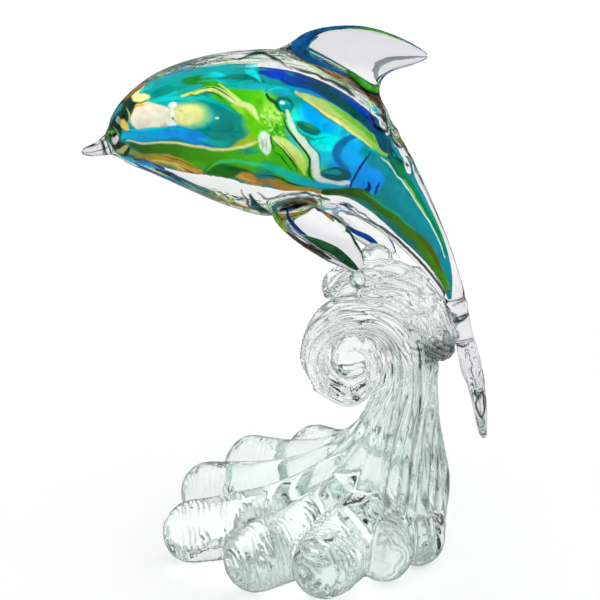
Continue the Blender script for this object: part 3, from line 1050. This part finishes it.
class Skin:
    """Hand-worked surface of the wave. At each point: how far it is pushed out, how dark the cords of glass
    are (ink) and how grey the bands between them (bands)."""

    def __init__(self, points, quads):
        self.points = points
        self.x, self.y, self.z = points.T
        self.normal = vertex_normals(points, quads)
        self.push = 0.26 * wander3(points, 9.0, 31) + 0.035 * wander3(points, 3.0, 32)
        self.ink = np.zeros(len(points))
        self.bands = np.zeros(len(points))
        self.patch = ease(wander3(points, 8.0, 33), -0.15, 0.45)
        self.bend = 1.4 * wander3(points, 5.0, 34) + 0.6 * wander3(points, 2.2, 35)
        self.breaks = ease(wander3(points, 5.0, 49), -0.45, 0.25)

    def darken(self, mask):
        self.ink = np.maximum(self.ink, mask)

    def mark_toes(self):
        """Chill marks across each toe, strongest near its end."""
        x, y = self.x - HUB[0], self.y - HUB[1]
        nearest = np.full(len(x), 1e9)
        along = np.zeros(len(x))
        strength = np.zeros(len(x))
        for (end_x, end_y, half_w, _, _), mark in zip(TOES, TOE_MARKS):
            run = np.array([end_x, end_y]) - HUB
            length = np.linalg.norm(run)
            run = run / length
            out = x * run[0] + y * run[1]
            off = np.abs(x * run[1] - y * run[0]) / half_w
            close = (off < nearest) & (out > 0)
            nearest[close] = off[close]
            along[close] = out[close]
            strength[close] = mark * ease(out[close] / length, 0.45, 0.85)
        strength *= (self.z < 52) * self.patch
        marks = np.sin(2 * math.pi * (along + self.bend) / CHILL_STEP)
        self.push += strength * marks
        self.darken(1.7 * strength * ease(marks, -0.2, -0.9))

    def cord_column(self):
        """Long cords that come over the shoulder of the curl, run down and fan out over the toes."""
        x, y, z = self.x, self.y, self.z
        turn = np.arctan2(y - HUB[1], x - HUB[0])
        flow = 1.6 * wander3(self.points * (1, 1, 0.12), 14.0, 39)
        edge_on = ease(np.abs(self.normal[:, 1]), 0.65, 0.30)
        sway = np.interp(z, [10, 26, 42, 56, 66, 78], [-7.0, -5.4, -3.0, -0.4, 0.7, 0.0])
        fan = HUB[0] + (x - sway - HUB[0]) * np.interp(z, [14, 50], [0.80, 1.0]) - CURL_CENTRE[0]
        over = np.where(z > CURL_CENTRE[1], np.hypot(x - CURL_CENTRE[0], z - CURL_CENTRE[1]), fan)
        over = over + 0.8 * flow + 0.55 * np.sin(over * 1.1)
        waves = np.sin(math.pi * (turn * 15.0 + flow) / 4.7) * edge_on
        waves += np.sin(math.pi * over / 3.7) * (1 - edge_on)
        cords = np.abs(waves)
        part = ease(z, 14, 30) * ease(z, 92, 84) * ease(x, 31, 36)
        self.darken(part * (0.6 + 0.4 * self.breaks) * ease(cords, 0.42, 0.14))
        self.bands = 0.9 * part * ease(waves, -0.1, 0.5)
        lens = wander3(self.points * (1, 1, 0.16), 5.2, 50)
        self.darken(0.9 * part * ease(z, 66, 52) * ease(lens, 0.38, 0.55))
        front = 0.35 + 0.65 * ease(y, 6, -4)
        self.push += 0.70 * front * (cords - 0.5) * ease(z, 10, 26) * ease(z, 84, 76) * ease(x, 31, 36)

    def cord_curl(self):
        """Cords that follow the curl's turn round its eye, short marks across its outer edge, a lumpy eye."""
        x, z = self.x, self.z
        dx, dz = x - CURL_CENTRE[0], z - CURL_CENTRE[1]
        out = np.hypot(dx, dz)
        turn = np.arctan2(dz, dx)
        above = ease(z, 58, 66) * np.maximum(ease(x, 36, 32), ease(z, 80, 86))
        cords = np.abs(np.sin(math.pi * (out + 0.8 * turn + 1.2 * wander3(self.points, 14.0, 44)) / 3.6))
        part = above * ease(out, 8, 11) * ease(out, 27, 24)
        self.darken(0.85 * part * self.breaks * ease(cords, 0.30, 0.06))
        self.push += 0.62 * (cords - 0.5) * part
        edge = ease(out, 13, 16) * ease(x, 16, 8) * (z > 50) * (out < 33)
        self.push += 0.20 * edge * self.patch * np.sin(2 * math.pi * (turn * 22.0 + self.bend) / 2.4)
        lumps = 0.9 * wander3(self.points, 4.2, 36) + 0.2 * wander3(self.points, 2.0, 45)
        self.push += above * ease(out, 12, 8) * lumps

    def fold_foam(self):
        """Torn folds that run along the crest."""
        x, y, z = self.x, self.y, self.z
        out = np.hypot(x - CURL_CENTRE[0], z - CURL_CENTRE[1])
        foam = np.maximum(ease(out, 24.0, 27.5) * ease(z, 84, 92), ease(x, 47, 50) * ease(z, 72, 78))
        dx, dz = x - 31.0, z - 80.0
        path = np.stack([np.arctan2(dz, dx) * 8.0, y / 1.3, np.hypot(dx, dz) / 1.3], -1)
        ridge = 1 - 2.2 * np.abs(wander3(path, 3.0, 37))
        fine = 1 - 2.2 * np.abs(wander3(path * 1.8, 3.0, 38))
        self.push += foam * (1.25 * ridge + 0.30 * fine)
        self.darken(0.95 * foam * self.breaks * ease(ridge, 0.80, 0.95))

    def reach(self, centre, stretch):
        """One about a centre, fading to nothing 9 mm from it; stretch widens that along x, y and z."""
        return ease(np.linalg.norm((self.points - centre) / stretch, axis=1), 9.0, 5.0)

    def darken_rear_lobe(self):
        """Crowded dark strokes in the lump beside the tail and on the shoulder behind it."""
        slant = 0.5 * self.x + 0.86 * self.z
        strokes = np.abs(np.sin(math.pi * (slant + 1.2 * wander3(self.points, 5.0, 53)) / 1.7))
        lobe = self.reach((54.0, -9.0, 82.0), (1.0, 1.5, 1.0))
        self.darken(lobe * (0.80 + 0.20 * ease(strokes, 0.8, 0.3)))
        behind = self.reach((48.5, -9.0, 88.0), (1.2, 1.6, 1.0))
        self.darken(behind * self.breaks * ease(strokes, 0.60, 0.25))
        self.push += 0.3 * np.maximum(lobe, behind) * (strokes - 0.6)

    def worked(self):
        """The moved points; the flat underside stays where it is."""
        push = self.push * ease(self.z, 0.3, 2.5)
        points = self.points + self.normal * push[:, None]
        points[:, 2] = np.maximum(points[:, 2], 0)
        return points


def wave_grey(points, bands):
    """Where the wave's glass is greyer: clouds in the foam, the back of the column, and between the cords."""
    x, _, z = points.T
    foam = 0.5 * ease(wander3(points, 9.0, 46), 0.1, 0.6) * ease(z, 96, 102)
    clouds = ease(wander3(points * (1, 1, 0.4), 7.0, 52), -0.4, 0.4)
    column = 0.6 * ease(x, 30, 44) * ease(z, 84, 70) * clouds
    return np.maximum.reduce([foam, column, bands])


def make_wave_glass():
    points, quads = make_wave_field().mesh()
    points = relax(points, quads, 4, hold=lambda p: p[:, 2] < 0.4)
    skin = Skin(points, quads)
    skin.mark_toes()
    skin.cord_column()
    skin.cord_curl()
    skin.fold_foam()
    skin.darken_rear_lobe()
    points = skin.worked()
    nodes = ["wave_stem", "wave_curl", "foam_saddle", "foam_lump_front", "foam_lump_top", "foam_lump_rear"]
    nodes += ["wave_toe_%d" % (i + 1) for i in range(len(TOES))]
    glass = make_object("wave_glass", points, quads, wave_clear, nodes)
    put_attribute(glass, "ink", skin.ink)
    put_attribute(glass, "grey", wave_grey(points, skin.bands))


make_wave_glass()
for name in ("bond_fin_left", "bond_fin_right", "bond_tail"):
    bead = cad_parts[name].data
    bead.materials.clear()
    bead.materials.append(wave_clear)


# ---------------------------------------------------------------- floor, light, camera
FLOOR_HALF = 6.0      # metres
FLOOR_DROP = 0.0003   # how far it lies under the wave, so that the two faces never meet
FLOOR_LIGHT = 1.12    # brightness of the room as the floor sees it
CORE_LIGHT = 2.9      # and as the coloured glass inside the casing gathers it
MIRROR_LOSS = 0.75    # how much darker the room is in reflections
CARDS = 6             # narrow dark cards round the room
# The room from the horizon, 0, to overhead, 1, with a dark ring half way up: height, red, green and blue.
ROOM = [
    (0.0, 0.30, 0.34), (0.06, 0.34, 0.38), (0.09, 1.0, 1.0), (0.50, 0.98, 0.98), (0.52, 0.10, 0.10),
    (0.56, 0.10, 0.10), (0.58, 0.98, 0.98), (1.0, 1.0, 1.0),
]
SENSOR = 36.0         # mm
VIEW_DISTANCE = 480.0     # camera to figure, mm
VIEW_WIDTH = 222.0    # width of the view at the figure, mm
ELEVATION = 17.0      # degrees above the floor
TARGET = Vector((0.003, 0.0, 0.099))     # metres


def make_floor():
    """Plain pale floor, darker where it is mirrored in the glass."""
    mesh = bpy.data.meshes.new("floor")
    corners = [(-1, -1), (1, -1), (1, 1), (-1, 1)]
    mesh.from_pydata([(x * FLOOR_HALF, y * FLOOR_HALF, -FLOOR_DROP) for x, y in corners], [], [(0, 1, 2, 3)])
    obj = bpy.data.objects.new("floor", mesh)
    bpy.context.scene.collection.objects.link(obj)
    material = bpy.data.materials.new("floor_paper")
    t = Tree(material)
    mirrored = t.node("LightPath").outputs["Is Reflection Ray"]
    paper = t.mix(mirrored, even(0.92), even(0.28))
    shader = t.node("BsdfPrincipled", {
        "Base Color": paper, "Roughness": 0.9, "Specular IOR Level": 0.0})
    t.node("OutputMaterial", {"Surface": shader.outputs[0]})
    mesh.materials.append(material)


def make_world():
    """Wrap-round white light, broken by narrow dark cards that draw the lines in clear glass."""
    world = bpy.data.worlds.new("studio")
    bpy.context.scene.world = world
    t = Tree(world)
    direction = t.node("TexCoord").outputs["Generated"]
    xyz = t.node("SeparateXYZ", {0: direction})
    turn = t.math("ARCTAN2", xyz.outputs[1], xyz.outputs[0])
    cards = t.math("COSINE", t.math("MULTIPLY", turn, CARDS))
    strips = t.node("MapRange", {0: cards, 1: 0.80, 2: 0.93, 3: 1.0, 4: 0.02})
    rise = t.node("ValToRGB", {0: xyz.outputs[2]})
    steps = rise.color_ramp.elements
    for i, (position, red, rest) in enumerate(ROOM):
        step = steps[i] if i < 2 else steps.new(position)
        step.position = position
        step.color = rgb(red, rest, rest)
    room = t.mix(1.0, strips.outputs[0], rise.outputs[0], "MULTIPLY")
    path = t.node("LightPath")
    room = t.mix(t.math("MULTIPLY", path.outputs["Is Reflection Ray"], MIRROR_LOSS), room, even(0.0))
    gathered = t.math("GREATER_THAN", path.outputs["Diffuse Depth"], 0.5)
    room = t.mix(gathered, room, even(CORE_LIGHT))
    room = t.mix(path.outputs["Is Diffuse Ray"], room, even(FLOOR_LIGHT))
    room = t.mix(path.outputs["Is Camera Ray"], room, even(1.0))
    back = t.node("Background", {"Color": room, "Strength": 1.0})
    t.node("OutputWorld", {"Surface": back.outputs[0]})
    world.cycles.sampling_method = "NONE"


def make_camera():
    """Camera in front of the figure, looking a little down on it."""
    data = bpy.data.cameras.new("camera")
    data.sensor_width = SENSOR
    data.lens = SENSOR * VIEW_DISTANCE / VIEW_WIDTH
    cam = bpy.data.objects.new("camera", data)
    bpy.context.scene.collection.objects.link(cam)
    elevation = math.radians(ELEVATION)
    back = Vector((0.0, -math.cos(elevation), math.sin(elevation)))
    cam.location = TARGET + back * (VIEW_DISTANCE * MM)
    cam.rotation_euler = (TARGET - cam.location).to_track_quat("-Z", "Y").to_euler()
    bpy.context.scene.camera = cam


make_floor()
make_world()
make_camera()
scene = bpy.context.scene
scene.view_settings.view_transform = "Standard"
scene.cycles.use_denoising = True
scene.cycles.max_bounces = 24
scene.cycles.transmission_bounces = 20
scene.cycles.diffuse_bounces = 4
scene.cycles.glossy_bounces = 8
